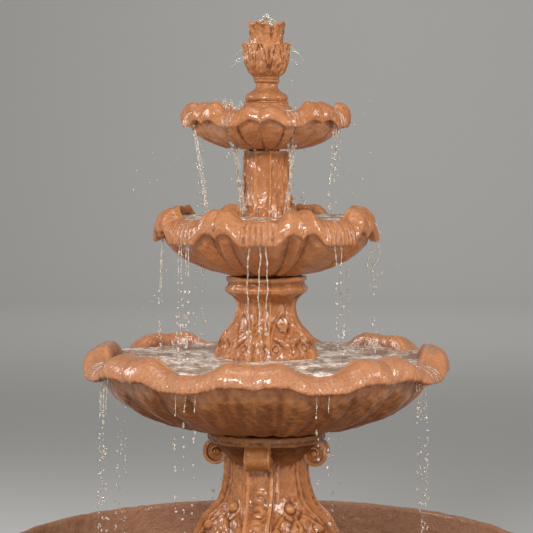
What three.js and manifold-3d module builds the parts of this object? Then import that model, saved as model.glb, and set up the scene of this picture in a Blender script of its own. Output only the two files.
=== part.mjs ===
// A three-tier cast-stone water fountain with scalloped shell bowls, standing in a round pool.
// Units are millimetres. +Z is up, -Y is the front, and the origin is on the ground under the
// middle of the pool. A submersible pump in the lowest pedestal drives water up a vinyl tube to
// the finial, and it spills from bowl to bowl back into the pool.
import * as THREE from "three";
import { mergeVertices } from "three/addons/utils/BufferGeometryUtils.js";
import Module from "manifold-3d";

const wasm = await Module();
wasm.setup();

const { PI, abs, cos, max, min, sin } = Math;
const DEG = PI / 180;
const CLEARANCE = 0.3; // between pieces that stand on or in each other

// Pool
const POOL_RIM = 700; // radius of the rim's crest
const POOL_HEIGHT = 420;
const POOL_FLOOR = 110; // height of the floor's upper face
const POOL_FOOT = 600; // radius of the foot that stands on the ground
const DRAIN_Y = 430; // the drain is behind the pedestal
const DRAIN_RADIUS = 22;

// Heights of the stack above the ground. A bowl stands on three shims, this far over its pedestal.
const LOWER_PEDESTAL_TOP = 728;
const MIDDLE_PEDESTAL_TOP = 1133;
const TOP_PEDESTAL_TOP = 1458.5;
const SHIM_GAP = 5;
const FINIAL_BASE_TOP = 1586.6;
const FINIAL_TOP = 1793;
const PEDESTAL_TURN = -5 * DEG; // azimuth of the pedestals' front consoles

// Each bowl is a shell with eight spill lips, and a raised double scallop between each two.
// reach: radius of the rim. seat: height of the underside. floor: height inside, at the middle.
// body: height of the shell under the rolled rim. belly: roundness of the shell's outside.
// crest and lip: the roll's top and lower edge on the scallops, and on the spills.
// roll: the roll's depth. hub: radius of the boss below that sits in the pedestal's open top.
// turn: azimuth of one double scallop, in degrees.
const BOWLS = {
  bottom: {
    reach: 478, seat: LOWER_PEDESTAL_TOP + SHIM_GAP, floor: 800, body: 884, belly: 1.7,
    crest: 953, spillCrest: 918, lip: 897, spillLip: 872, roll: 76, seatRadius: 120, hub: 48, turn: 0,
  },
  middle: {
    reach: 295, seat: MIDDLE_PEDESTAL_TOP + SHIM_GAP, floor: 1172, body: 1238, belly: 1.45,
    crest: 1313, spillCrest: 1284, lip: 1256, spillLip: 1224, roll: 58, seatRadius: 84, hub: 36, turn: 22.5,
  },
  top: {
    reach: 223, seat: TOP_PEDESTAL_TOP + SHIM_GAP, floor: 1487, body: 1530, belly: 1.7,
    crest: 1583, spillCrest: 1560, lip: 1540, spillLip: 1520, roll: 46, seatRadius: 62, hub: 27, turn: 0,
  },
};
const SCALLOPS = 8;
const BOWL_SEGMENTS = 48;
const BOWL_HOLE = 22; // radius of the hole that the tube and its stopper pass through
const HUB_DROP = 14; // from a bowl's underside to the foot of its hub

// Water line and pump. The pump stands under the middle, with its rotor's axis along Y.
const TUBE_RADIUS = 9.5;
const TUBE_BORE = 6.5;
const TUBE_BOTTOM = 207;
const TUBE_TOP = 1722;
const PUMP_WIDTH = 70;
const PUMP_LENGTH = 100;
const PUMP_BOTTOM = 118;
const PUMP_TOP = 188;
const PUMP_AXIS = (PUMP_BOTTOM + PUMP_TOP) / 2;
const PUMP_FRONT = -PUMP_LENGTH / 2;
const ROTOR_WELL = 24; // radius
const ROTOR_WELL_BACK = 12; // the well runs from the pump's front to this Y
const SHAFT_RADIUS = 1.5;
const OUTLET_TOP = 200;
const DIAL_SEAT = [20, 160]; // Y and Z of the flow dial's axis
const DIAL_STEM = 4; // radius of the hole that the dial's stem turns in

// ---------------------------------------------------------------- shaping helpers

const mix = (a, b, t) => a + (b - a) * t;
const smooth = (a, b, x) => {
  const t = min(1, max(0, (x - a) / (b - a)));
  return t * t * (3 - 2 * t);
};

// A solid of revolution about Z. The outline is [radius, height] pairs, anticlockwise with radius
// to the right. It starts and ends on the axis, or else it is closed on itself here.
function turned(outline, segments) {
  const points = outline.map(([r, z]) => new THREE.Vector2(r, z));
  if (outline[0][0] > 0) points.push(points[0].clone());
  return new THREE.LatheGeometry(points, segments).rotateX(PI / 2);
}

// A ring whose section changes on its way round. columns are closed outlines of [x, y, z] points,
// in order from the front towards +X.
function moulded(columns) {
  const count = columns[0].length;
  const geometry = turned([...Array(count).keys()].map((j) => [1, j]), columns.length);
  const position = geometry.attributes.position;
  for (let i = 0; i <= columns.length; i++) {
    for (let j = 0; j <= count; j++) {
      position.setXYZ(i * (count + 1) + j, ...columns[i % columns.length][j % count]);
    }
  }
  return geometry;
}

// A moulded ring whose outline of [radius, height] pairs is a function of azimuth.
function mouldedRound(outlineAt, segments) {
  const azimuths = [...Array(segments).keys()].map((i) => (i / segments) * 2 * PI);
  return moulded(azimuths.map((a) => outlineAt(a).map(([r, z]) => [r * sin(a), -r * cos(a), z])));
}

function solidOf(geometry) {
  const bare = geometry.index ? geometry.toNonIndexed() : geometry.clone();
  bare.deleteAttribute("normal");
  bare.deleteAttribute("uv");
  const merged = mergeVertices(bare, 1e-3);
  return new wasm.Manifold(
    new wasm.Mesh({
      numProp: 3,
      vertProperties: new Float32Array(merged.attributes.position.array),
      triVerts: new Uint32Array(merged.index.array),
    }),
  );
}

function geometryOf(solid) {
  const { vertProperties, triVerts } = solid.getMesh();
  const geometry = new THREE.BufferGeometry()
    .setAttribute("position", new THREE.BufferAttribute(vertProperties, 3))
    .setIndex(new THREE.BufferAttribute(triVerts, 1));
  geometry.computeVertexNormals();
  return geometry;
}

const join = (...geometries) => geometryOf(geometries.map(solidOf).reduce((all, one) => all.add(one)));
const cut = (geometry, ...tools) =>
  geometryOf(tools.map(solidOf).reduce((all, one) => all.subtract(one), solidOf(geometry)));

const ring = (inner, outer, bottom, top, segments) =>
  turned([[inner, bottom], [outer, bottom], [outer, top], [inner, top]], segments);

// Cylinders from the point [x, y, z] along +Z, +Y and +X.
const cylinder = (radius, length, segments) => new THREE.CylinderGeometry(radius, radius, length, segments);
const upright = (radius, length, [x, y, z], segments = 24) =>
  cylinder(radius, length, segments).rotateX(PI / 2).translate(x, y, z + length / 2);
const alongY = (radius, length, [x, y, z], segments = 24) =>
  cylinder(radius, length, segments).translate(x, y + length / 2, z);
const alongX = (radius, length, [x, y, z], segments = 24) =>
  cylinder(radius, length, segments).rotateZ(PI / 2).translate(x + length / 2, y, z);

// A block with rounded upright edges, centred on the axis.
function roundedBlock(width, depth, corner, bottom, top) {
  const [x, y] = [width / 2 - corner, depth / 2 - corner];
  const plan = new THREE.Shape();
  plan.absarc(x, y, corner, 0, PI / 2, false);
  plan.absarc(-x, y, corner, PI / 2, PI, false);
  plan.absarc(-x, -y, corner, PI, 1.5 * PI, false);
  plan.absarc(x, -y, corner, 1.5 * PI, 2 * PI, false);
  plan.closePath();
  const settings = { depth: top - bottom, bevelEnabled: false, curveSegments: 4 };
  return new THREE.ExtrudeGeometry(plan, settings).translate(0, 0, bottom);
}

// ---------------------------------------------------------------- bowls

// How far round a scallop an azimuth is, in degrees: 0 at its middle, 22.5 at a spill's middle.
function roundScallop(azimuth, turn) {
  const period = 360 / SCALLOPS;
  const degrees = azimuth / DEG - turn;
  return abs(degrees - period * Math.round(degrees / period));
}

// The rolled rim is high over each double scallop, dips between its two humps, and falls to the
// spill on each side.
function bowlOutline(bowl, azimuth) {
  const { reach, roll, seat, floor, body, belly, seatRadius, hub, crest, spillCrest, lip, spillLip } = bowl;
  const u = roundScallop(azimuth, bowl.turn);
  const raised = 1 - smooth(11, 21, u);
  const dip = 0.15 * (1 + cos((2 * PI * u) / 16));
  const top = mix(spillCrest, mix(crest, spillCrest, dip), raised);
  const edge = mix(spillLip, mix(lip, spillLip, dip), raised);
  const shellTop = reach * 0.915;
  const outside = [0, 0.35, 0.62, 0.82, 0.95].map((share) => {
    const rise = 1 - (1 - share ** belly) ** (1 / belly);
    return [mix(seatRadius, shellTop, share), mix(seat, body, rise)];
  });
  const rim = [
    [reach - roll * 0.42, edge + 4],
    [reach - roll * 0.16, edge],
    [reach, mix(edge, top, 0.34)],
    [reach - roll * 0.18, mix(edge, top, 0.76)],
    [reach - roll * 0.6, top],
    [reach - roll, mix(spillCrest, top, 0.5) - 5],
  ];
  const inside = [
    [reach * 0.78, mix(floor, spillCrest, 0.55)],
    [reach * 0.58, mix(floor, spillCrest, 0.16)],
    [reach * 0.37, floor],
  ];
  const base = [[BOWL_HOLE, seat - HUB_DROP], [hub, seat - HUB_DROP], [hub, seat]];
  return [...base, ...outside, ...rim, ...inside, [BOWL_HOLE, floor]];
}

const scallopBowl = (bowl) => mouldedRound((azimuth) => bowlOutline(bowl, azimuth), BOWL_SEGMENTS);

// ---------------------------------------------------------------- pedestals

// A pedestal is square in plan with its corners cut off, and the narrow corner faces, or consoles,
// look roughly forwards, sideways and back. outside is [radius at a console, height] pairs going up, half
// is half a console's width, and core is [radius, height] pairs going down the hollow inside.
const CONSOLE_TURNS = [0, 1, 2, 3].map((k) => PEDESTAL_TURN + k * (PI / 2));

function pedestal(outside, half, core) {
  const corners = [0, 1, 2, 3].flatMap((k) => [-1, 1].map((side) => [CONSOLE_TURNS[k], side * half]));
  return moulded(
    corners.map(([turn, across]) => [
      ...outside.map(([r, z]) => [
        across * cos(turn) + r * sin(turn),
        across * sin(turn) - r * cos(turn),
        z,
      ]),
      ...core.map(([r, z]) => {
        const azimuth = turn + Math.sign(across) * 22.5 * DEG;
        return [r * sin(azimuth), -r * cos(azimuth), z];
      }),
    ]),
  );
}

const LOWER_HALF = 32;

// A scroll at the head of a console: a roll across it, with a web that joins it to the block above.
function consoleScroll() {
  const [radius, centre, height] = [30.5, 133.5, 678];
  const webTop = LOWER_PEDESTAL_TOP - 8;
  const side = new THREE.Shape();
  side.absarc(centre, height, radius, -0.9 * PI, 0.42 * PI, false);
  side.lineTo(centre + 14, webTop);
  side.lineTo(80, webTop);
  side.lineTo(80, height - 12);
  side.closePath();
  const settings = { depth: 2 * LOWER_HALF, bevelEnabled: false, curveSegments: 14 };
  return new THREE.ExtrudeGeometry(side, settings).rotateX(PI / 2).translate(0, LOWER_HALF, 0);
}

// The lowest pedestal has four scrolls, a chamber for the pump, and an arch at the back where
// water and the pump's cord come in.
function lowerPedestal() {
  const foot = POOL_FLOOR + CLEARANCE;
  const body = pedestal(
    [
      [238, foot], [236, 250], [214, 272], [204, 300], [211, 360], [204, 420], [189, 457], [162, 507],
      [141, 526], [127, 544], [114, 597], [108, 634], [112, 662], [132, 700], [148, 710],
      [151, LOWER_PEDESTAL_TOP],
    ],
    LOWER_HALF,
    [[55, LOWER_PEDESTAL_TOP], [55, 430], [130, 310], [130, foot]],
  );
  const scrolls = CONSOLE_TURNS.map((turn) => consoleScroll().rotateZ(turn));
  const doorway = new THREE.Shape();
  doorway.moveTo(-55, 0);
  doorway.lineTo(55, 0);
  doorway.absarc(0, 180, 55, 0, PI, false);
  doorway.closePath();
  const arch = new THREE.ExtrudeGeometry(doorway, { depth: 200, bevelEnabled: false, curveSegments: 8 });
  return cut(join(body, ...scrolls), arch.rotateX(PI / 2).translate(0, 300, 0).rotateZ(PEDESTAL_TURN));
}

function middlePedestal() {
  const foot = BOWLS.bottom.floor + CLEARANCE;
  return pedestal(
    [
      [138, foot], [136, 860], [130, 928], [120, 972], [108, 991], [94, 1002], [75, 1044], [78, 1073],
      [105, 1098], [97, 1116], [101, MIDDLE_PEDESTAL_TOP],
    ],
    28,
    [[40, MIDDLE_PEDESTAL_TOP], [40, 1000], [60, 900], [60, foot]],
  );
}

function topPedestal() {
  const foot = BOWLS.middle.floor + CLEARANCE;
  return pedestal(
    [
      [82, foot], [80, 1240], [76.5, 1287], [71, 1311], [65, 1331], [57.5, 1357], [55.5, 1409],
      [53.5, TOP_PEDESTAL_TOP],
    ],
    21,
    [[30, TOP_PEDESTAL_TOP], [30, 1300], [36, 1240], [36, foot]],
  );
}

// A shim of hard plastic that levels a bowl on its pedestal, at the given azimuth and radius.
const shim = (side, azimuth, radius, pedestalTop) =>
  roundedBlock(side, side, 3, pedestalTop + CLEARANCE, pedestalTop + SHIM_GAP - CLEARANCE)
    .translate(0, -radius, 0)
    .rotateZ(azimuth * DEG);

// ---------------------------------------------------------------- pool and finial

function pool() {
  const outline = [
    [0, 40], [480, 40], [500, 0], [POOL_FOOT, 0], [POOL_FOOT, 42], [584, 62], [604, 104], [652, 184],
    [684, 268], [690, 330], [684, 352], [702, 364], [716, 384], [714, 405], [POOL_RIM, POOL_HEIGHT],
    [685, 411], [681, 385], [670, 260], [634, 156], [570, POOL_FLOOR], [0, POOL_FLOOR],
  ];
  return cut(turned(outline, 48), upright(DRAIN_RADIUS, 100, [0, DRAIN_Y, 30]));
}

// The collar that lifts the finial clear of the top bowl's water.
function finialBase() {
  const foot = BOWLS.top.floor + CLEARANCE;
  const outline = [
    [32, foot], [78, foot], [76, 1540], [72.5, 1557], [65, 1570], [57, 1578], [53.5, FINIAL_BASE_TOP],
    [20, FINIAL_BASE_TOP], [20, 1560], [32, 1540],
  ];
  return turned(outline, 32);
}

// The finial is a bud on a round foot, swollen in four leaves, under a cup of four petals that the
// water wells up in.
function finial() {
  const foot = FINIAL_BASE_TOP + CLEARANCE;
  const outlineAt = (azimuth) => {
    const petal = abs(cos(2 * azimuth + 45 * DEG));
    const swell = 0.97 + 0.05 * petal;
    const tip = FINIAL_TOP - 22 * (1 - petal) ** 1.5;
    return [
      [12, foot], [56, foot], [58, 1598], [50, 1609], [35, 1615], [27, 1627], [34, 1637], [35, 1646],
      [47 * swell, 1656], [57 * swell, 1672], [62 * swell, 1697], [61 * swell, 1728], [46, 1735], [43, 1756],
      [50, tip], [40, tip - 2], [32, 1752], [31, 1722], [12, 1714],
    ];
  };
  return mouldedRound(outlineAt, 32);
}

// ---------------------------------------------------------------- water line

// A tapered rubber stopper that seals the tube in a bowl's hole, with a flange on the bowl's floor.
function tubeStopper(bowl) {
  const bore = TUBE_RADIUS + CLEARANCE;
  const fit = BOWL_HOLE - CLEARANCE;
  const tip = bowl.seat + 6;
  const face = bowl.floor + CLEARANCE;
  return turned([[bore, tip], [fit - 3, tip], [fit, face], [27, face], [27, face + 5], [bore, face + 5]], 24);
}

const riserTube = () => ring(TUBE_BORE, TUBE_RADIUS, TUBE_BOTTOM, TUBE_TOP, 16);

// The brass nozzle's tail plugs the top of the tube, and its collar rests on the tube's end.
function sprayNozzle() {
  const [tail, bore, collar] = [TUBE_BORE - CLEARANCE, 3.5, TUBE_TOP + CLEARANCE];
  const outline = [
    [bore, TUBE_TOP - 16], [tail, TUBE_TOP - 16], [tail, collar], [10.5, collar], [10.5, collar + 5],
    [8, collar + 8], [7, 1752], [bore, 1752],
  ];
  return turned(outline, 16);
}

// The worm-drive clamp that holds the tube on the pump's barb.
function hoseClamp() {
  const inner = TUBE_RADIUS + CLEARANCE;
  const band = ring(inner, inner + 1.4, 214, 223, 24);
  const worm = new THREE.BoxGeometry(14, 7, 9).translate(0, -inner - 4.2, 218.5);
  const screw = alongX(3.4, 6, [6.5, -inner - 4.8, 218.5], 12);
  return join(band, worm, screw);
}

// The pool drain's tapered stopper, with a pull ring on top.
function drainStopper() {
  const face = POOL_FLOOR + CLEARANCE;
  const fit = DRAIN_RADIUS - CLEARANCE;
  const side = [[0, 48], [fit - 3, 48], [fit, face], [29, face], [29, face + 6], [6, face + 9], [0, face + 9]];
  const plug = turned(side, 24);
  const pull = new THREE.TorusGeometry(10, 2.4, 8, 20).rotateX(PI / 2).translate(0, 0, face + 19);
  return join(plug, pull).translate(0, DRAIN_Y, 0);
}

// ---------------------------------------------------------------- pump

function pumpHousing() {
  const block = roundedBlock(PUMP_WIDTH, PUMP_LENGTH, 12, PUMP_BOTTOM, PUMP_TOP);
  const outlet = upright(14, OUTLET_TOP - PUMP_TOP + 4, [0, 0, PUMP_TOP - 4]);
  const well = alongY(ROTOR_WELL, ROTOR_WELL_BACK - PUMP_FRONT + 1, [0, PUMP_FRONT - 1, PUMP_AXIS]);
  const outletBore = upright(7, 60, [0, 0, PUMP_AXIS]);
  const dialSeat = alongX(DIAL_STEM, 20, [25, ...DIAL_SEAT], 16);
  return cut(join(block, outlet), well, outletBore, dialSeat);
}

// The plate that closes the rotor's well, with six inlet holes round the shaft's front bearing.
function voluteCover() {
  const plate = alongY(ROTOR_WELL - CLEARANCE, 4, [0, PUMP_FRONT, PUMP_AXIS]);
  const bearing = alongY(SHAFT_RADIUS + CLEARANCE, 8, [0, PUMP_FRONT - 2, PUMP_AXIS], 16);
  const inlets = [0, 1, 2, 3, 4, 5].map((k) => {
    const turn = k * 60 * DEG;
    return alongY(4, 8, [11 * cos(turn), PUMP_FRONT - 2, PUMP_AXIS + 11 * sin(turn)], 12);
  });
  return cut(plate, bearing, ...inlets);
}

// A magnet rotor with six straight blades, which turns on a fixed ceramic shaft.
function impeller() {
  const magnet = alongY(13, 34, [0, -26, PUMP_AXIS]);
  const hub = alongY(18, 3, [0, -29, PUMP_AXIS]);
  const nose = alongY(5, 12, [0, -41, PUMP_AXIS]);
  const blades = [0, 1, 2, 3, 4, 5].map((k) =>
    new THREE.BoxGeometry(2, 13, 15)
      .translate(0, -34.5, 10.5)
      .rotateY(k * 60 * DEG)
      .translate(0, 0, PUMP_AXIS),
  );
  const bore = alongY(SHAFT_RADIUS + CLEARANCE, 60, [0, -45, PUMP_AXIS], 16);
  return cut(join(magnet, hub, nose, ...blades), bore);
}

const shaft = () => alongY(SHAFT_RADIUS, 60, [0, PUMP_FRONT + 0.5, PUMP_AXIS], 16);

// The rubber bush that holds the back end of the shaft.
function shaftBush() {
  const bush = alongY(6, 3, [0, ROTOR_WELL_BACK - 3.3, PUMP_AXIS], 16);
  return cut(bush, alongY(SHAFT_RADIUS + CLEARANCE, 6, [0, ROTOR_WELL_BACK - 5, PUMP_AXIS], 16));
}

// The strainer snaps over the pump's front. Its slots let water in and keep leaves out.
function intakeStrainer() {
  const [depth, wall] = [22, 3];
  const middle = PUMP_FRONT - CLEARANCE - depth / 2;
  const height = PUMP_TOP - PUMP_BOTTOM;
  const shell = roundedBlock(PUMP_WIDTH, depth, 8, PUMP_BOTTOM, PUMP_TOP).translate(0, middle, 0);
  const hollow = new THREE.BoxGeometry(PUMP_WIDTH - 4 * wall, depth, height - 2 * wall);
  const slots = [-20, -10, 0, 10, 20].map((x) =>
    new THREE.BoxGeometry(4, 3 * wall, 44).translate(x, middle - depth / 2, PUMP_AXIS),
  );
  return cut(shell, hollow.translate(0, middle + wall, PUMP_AXIS), ...slots);
}

// The flow dial on the pump's side: a grip with a pointer rib, on a stem in the housing's seat.
function flowDial() {
  const face = PUMP_WIDTH / 2 + CLEARANCE;
  const stem = alongX(DIAL_STEM - CLEARANCE, 10, [face - 9, ...DIAL_SEAT], 16);
  const grip = alongX(11, 6, [face, ...DIAL_SEAT]);
  const pointer = new THREE.BoxGeometry(5, 4, 20).translate(face + 8, ...DIAL_SEAT);
  return join(stem, grip, pointer);
}

// A ribbed barb that screws into the pump's outlet and holds the tube.
function outletBarb() {
  const [bore, face, fit] = [4, OUTLET_TOP + CLEARANCE, TUBE_BORE - CLEARANCE];
  const outline = [
    [bore, PUMP_TOP], [6.7, PUMP_TOP], [6.7, face], [12, face], [12, face + 5], [fit - 0.8, face + 5],
    [fit, 212], [fit - 0.8, 218], [fit, 224], [fit - 1.2, 232], [bore, 232],
  ];
  return turned(outline, 16);
}

function suctionFoot(x, y) {
  const [bottom, top] = [POOL_FLOOR + CLEARANCE, PUMP_BOTTOM - CLEARANCE];
  return turned([[0, bottom], [10, bottom], [5, bottom + 3.5], [5, top], [0, top]], 16).translate(x, y, 0);
}

// The gland where the pump's cord leaves the back of the housing.
function cordGland() {
  const back = PUMP_LENGTH / 2 + CLEARANCE;
  const nut = alongY(9, 8, [0, back, 140], 6);
  const tail = new THREE.CylinderGeometry(4.5, 7, 16, 16).translate(0, back + 15, 140);
  return cut(join(nut, tail), alongY(3.4, 20, [0, back + 8, 140], 12));
}

// ---------------------------------------------------------------- assembly

const finish = (color, roughness, metalness = 0) =>
  new THREE.MeshStandardMaterial({ color, roughness, metalness });
const stone = finish("#b06f47", 0.45);
const rubber = finish("#1b1b1b", 0.8);
const vinyl = finish("#c9d2cf", 0.25);
const pumpPlastic = finish("#22262b", 0.5);
const rotorPlastic = finish("#3f6f8f", 0.45);
const shimPlastic = finish("#3a3a3a", 0.6);
const ceramic = finish("#ece8e0", 0.25);
const steel = finish("#b9bcc0", 0.3, 1);
const brass = finish("#b08a3e", 0.35, 1);

const fountain = new THREE.Group();
function place(name, geometry, material) {
  const mesh = new THREE.Mesh(geometry, material);
  mesh.name = name;
  fountain.add(mesh);
}

place("pool", pool(), stone);
place("lower_pedestal", lowerPedestal(), stone);
place("bottom_bowl", scallopBowl(BOWLS.bottom), stone);
place("middle_pedestal", middlePedestal(), stone);
place("middle_bowl", scallopBowl(BOWLS.middle), stone);
place("top_pedestal", topPedestal(), stone);
place("top_bowl", scallopBowl(BOWLS.top), stone);
place("finial_base", finialBase(), stone);
place("finial", finial(), stone);

const shimSets = [
  ["bottom", 26, 92, LOWER_PEDESTAL_TOP],
  ["middle", 20, 68, MIDDLE_PEDESTAL_TOP],
  ["top", 11, 41, TOP_PEDESTAL_TOP],
];
for (const [name, side, radius, pedestalTop] of shimSets) {
  [45, 165, 285].forEach((azimuth, k) =>
    place(`${name}_bowl_shim_${k + 1}`, shim(side, azimuth, radius, pedestalTop), shimPlastic),
  );
}
for (const [name, bowl] of Object.entries(BOWLS)) place(`${name}_bowl_stopper`, tubeStopper(bowl), rubber);

place("riser_tube", riserTube(), vinyl);
place("spray_nozzle", sprayNozzle(), brass);
place("hose_clamp", hoseClamp(), steel);
place("drain_stopper", drainStopper(), rubber);

place("pump_housing", pumpHousing(), pumpPlastic);
place("pump_volute_cover", voluteCover(), pumpPlastic);
place("pump_intake_strainer", intakeStrainer(), pumpPlastic);
place("pump_impeller", impeller(), rotorPlastic);
place("pump_shaft", shaft(), ceramic);
place("pump_shaft_bush", shaftBush(), rubber);
place("pump_flow_dial", flowDial(), rotorPlastic);
place("pump_outlet_barb", outletBarb(), pumpPlastic);
place("pump_cord_gland", cordGland(), pumpPlastic);
const [footX, footY] = [22, 36];
const footPlaces = [[-footX, -footY], [footX, -footY], [-footX, footY], [footX, footY]];
footPlaces.forEach(([x, y], k) => place(`pump_foot_${k + 1}`, suctionFoot(x, y), rubber));

export default fountain;
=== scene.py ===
import math

import bpy
import numpy as np
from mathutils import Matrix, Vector


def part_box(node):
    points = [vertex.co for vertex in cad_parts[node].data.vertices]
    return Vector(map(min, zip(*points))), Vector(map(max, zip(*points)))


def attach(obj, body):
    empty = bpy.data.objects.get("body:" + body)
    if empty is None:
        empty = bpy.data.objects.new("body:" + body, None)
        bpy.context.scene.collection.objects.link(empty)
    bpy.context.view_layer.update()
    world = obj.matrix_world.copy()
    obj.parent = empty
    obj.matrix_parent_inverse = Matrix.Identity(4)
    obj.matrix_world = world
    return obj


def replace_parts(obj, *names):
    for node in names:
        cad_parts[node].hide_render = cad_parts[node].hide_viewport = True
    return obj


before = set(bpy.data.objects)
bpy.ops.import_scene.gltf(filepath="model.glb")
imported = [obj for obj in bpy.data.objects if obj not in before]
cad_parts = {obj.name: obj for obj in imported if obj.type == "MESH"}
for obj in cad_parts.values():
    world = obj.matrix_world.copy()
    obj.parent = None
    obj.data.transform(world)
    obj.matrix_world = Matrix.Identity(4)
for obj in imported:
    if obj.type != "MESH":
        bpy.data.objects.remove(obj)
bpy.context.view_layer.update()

TAU = 2 * math.pi
BODY = "fountain"


def top_of(node):
    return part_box(node)[1].z


def bottom_of(node):
    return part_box(node)[0].z


def reach_of(node):
    """The node's largest radius."""
    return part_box(node)[1].x


def placed(name, data):
    """A new object in the scene."""
    made = bpy.data.objects.new(name, data)
    bpy.context.scene.collection.objects.link(made)
    return made


# ---- camera, light and stage

# The camera stands to the right of the front, a little over the rim of the middle bowl, and looks
# slightly down.
CAMERA_AZIMUTH = math.radians(4.2)
CAMERA_DISTANCE = 5.2
CAMERA_HEIGHT = 1.487
CAMERA_PITCH = math.radians(3.62)
CAMERA_LENS = 135.1
SENSOR = 36.0

camera = placed("camera", bpy.data.cameras.new("camera"))
camera.data.lens = CAMERA_LENS
camera.data.sensor_width = SENSOR
camera.data.clip_end = 400
camera.location = (
    CAMERA_DISTANCE * math.sin(CAMERA_AZIMUTH),
    -CAMERA_DISTANCE * math.cos(CAMERA_AZIMUTH),
    CAMERA_HEIGHT,
)
camera.rotation_euler = (math.pi / 2 - CAMERA_PITCH, 0, CAMERA_AZIMUTH)
bpy.context.scene.camera = camera


def area_light(name, place, size, power, aim=(0, 0, 1.0)):
    light = placed(name, bpy.data.lights.new(name, "AREA"))
    light.data.size = size
    light.data.energy = power
    light.location = place
    light.rotation_euler = (Vector(aim) - Vector(place)).to_track_quat("-Z", "Y").to_euler()


area_light("key_front", (-1.0, -4.7, 3.5), 1.1, 155)
area_light("fill_front", (0.9, -4.9, 1.3), 1.6, 46)
area_light("side_right", (3.6, -1.2, 2.6), 1.2, 75)
area_light("side_left", (-3.8, 0.2, 2.6), 1.4, 70)
area_light("overhead", (0.0, -0.4, 4.6), 1.6, 28)
area_light("backdrop", (0.0, 9.0, 7.5), 5.0, 230, aim=(0, 16.5, 2.5))

world = bpy.data.worlds.new("studio")
world.use_nodes = True
surroundings = world.node_tree.nodes["Background"].inputs
surroundings["Color"].default_value = (0.80, 0.79, 0.77, 1)
surroundings["Strength"].default_value = 0.26
bpy.context.scene.world = world
bpy.context.scene.view_settings.view_transform = "Standard"


# ---- materials


class Shader:
    """A new node material with short calls for its nodes."""

    def __init__(self, name):
        self.material = bpy.data.materials.new(name)
        self.material.use_nodes = True
        self.tree = self.material.node_tree
        self.surface = self.tree.nodes["Principled BSDF"]

    def put(self, socket, value):
        if isinstance(value, bpy.types.NodeSocket):
            self.tree.links.new(value, socket)
        else:
            socket.default_value = value

    def node(self, kind, inputs=(), **settings):
        """The outputs of a new node."""
        made = self.tree.nodes.new("ShaderNode" + kind)
        for key, value in settings.items():
            setattr(made, key, value)
        for key, value in dict(inputs).items():
            self.put(made.inputs[key], value)
        return made.outputs

    def value(self, name):
        """The piece's own number of that name."""
        return self.node("Attribute", attribute_name=name)["Fac"]

    def noise(self, scale, detail=4.0, roughness=0.55, stretch=(1, 1, 1)):
        """A noise over the point on the object, in metres, stretched along the axes."""
        point = self.node("Mapping", {"Vector": self.node("TexCoord")["Object"], "Scale": stretch})[0]
        inputs = {"Vector": point, "Scale": scale, "Detail": detail, "Roughness": roughness}
        return self.node("TexNoise", inputs)[0]

    def ramp(self, value, low, high, to_low=0.0, to_high=1.0):
        """value's stretch from low to high, as to_low to to_high."""
        inputs = {0: value, 1: low, 2: high, 3: to_low, 4: to_high}
        return self.node("MapRange", inputs, clamp=True)[0]

    def patches(self, scale, detail, *limits, **kinds):
        """A noise's stretch between limits, as in ramp."""
        return self.ramp(self.noise(scale, detail, **kinds), *limits)

    def math(self, operation, a, b):
        return self.node("Math", {0: a, 1: b}, operation=operation)[0]

    def mix(self, share, a, b):
        return self.node("Mix", {0: share, 6: a, 7: b}, data_type="RGBA")[2]

    def set(self, **inputs):
        for key, value in inputs.items():
            self.put(self.surface.inputs[key.replace("_", " ")], value)

    def bump(self, height, distance, strength, socket="Normal"):
        inputs = {"Height": height, "Distance": distance, "Strength": strength}
        self.put(self.surface.inputs[socket], self.node("Bump", inputs)[0])


def tint(colour, *shares):
    """The colour with each of its parts scaled."""
    return (*(min(1, part * share) for part, share in zip(colour, shares)), 1)


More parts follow.
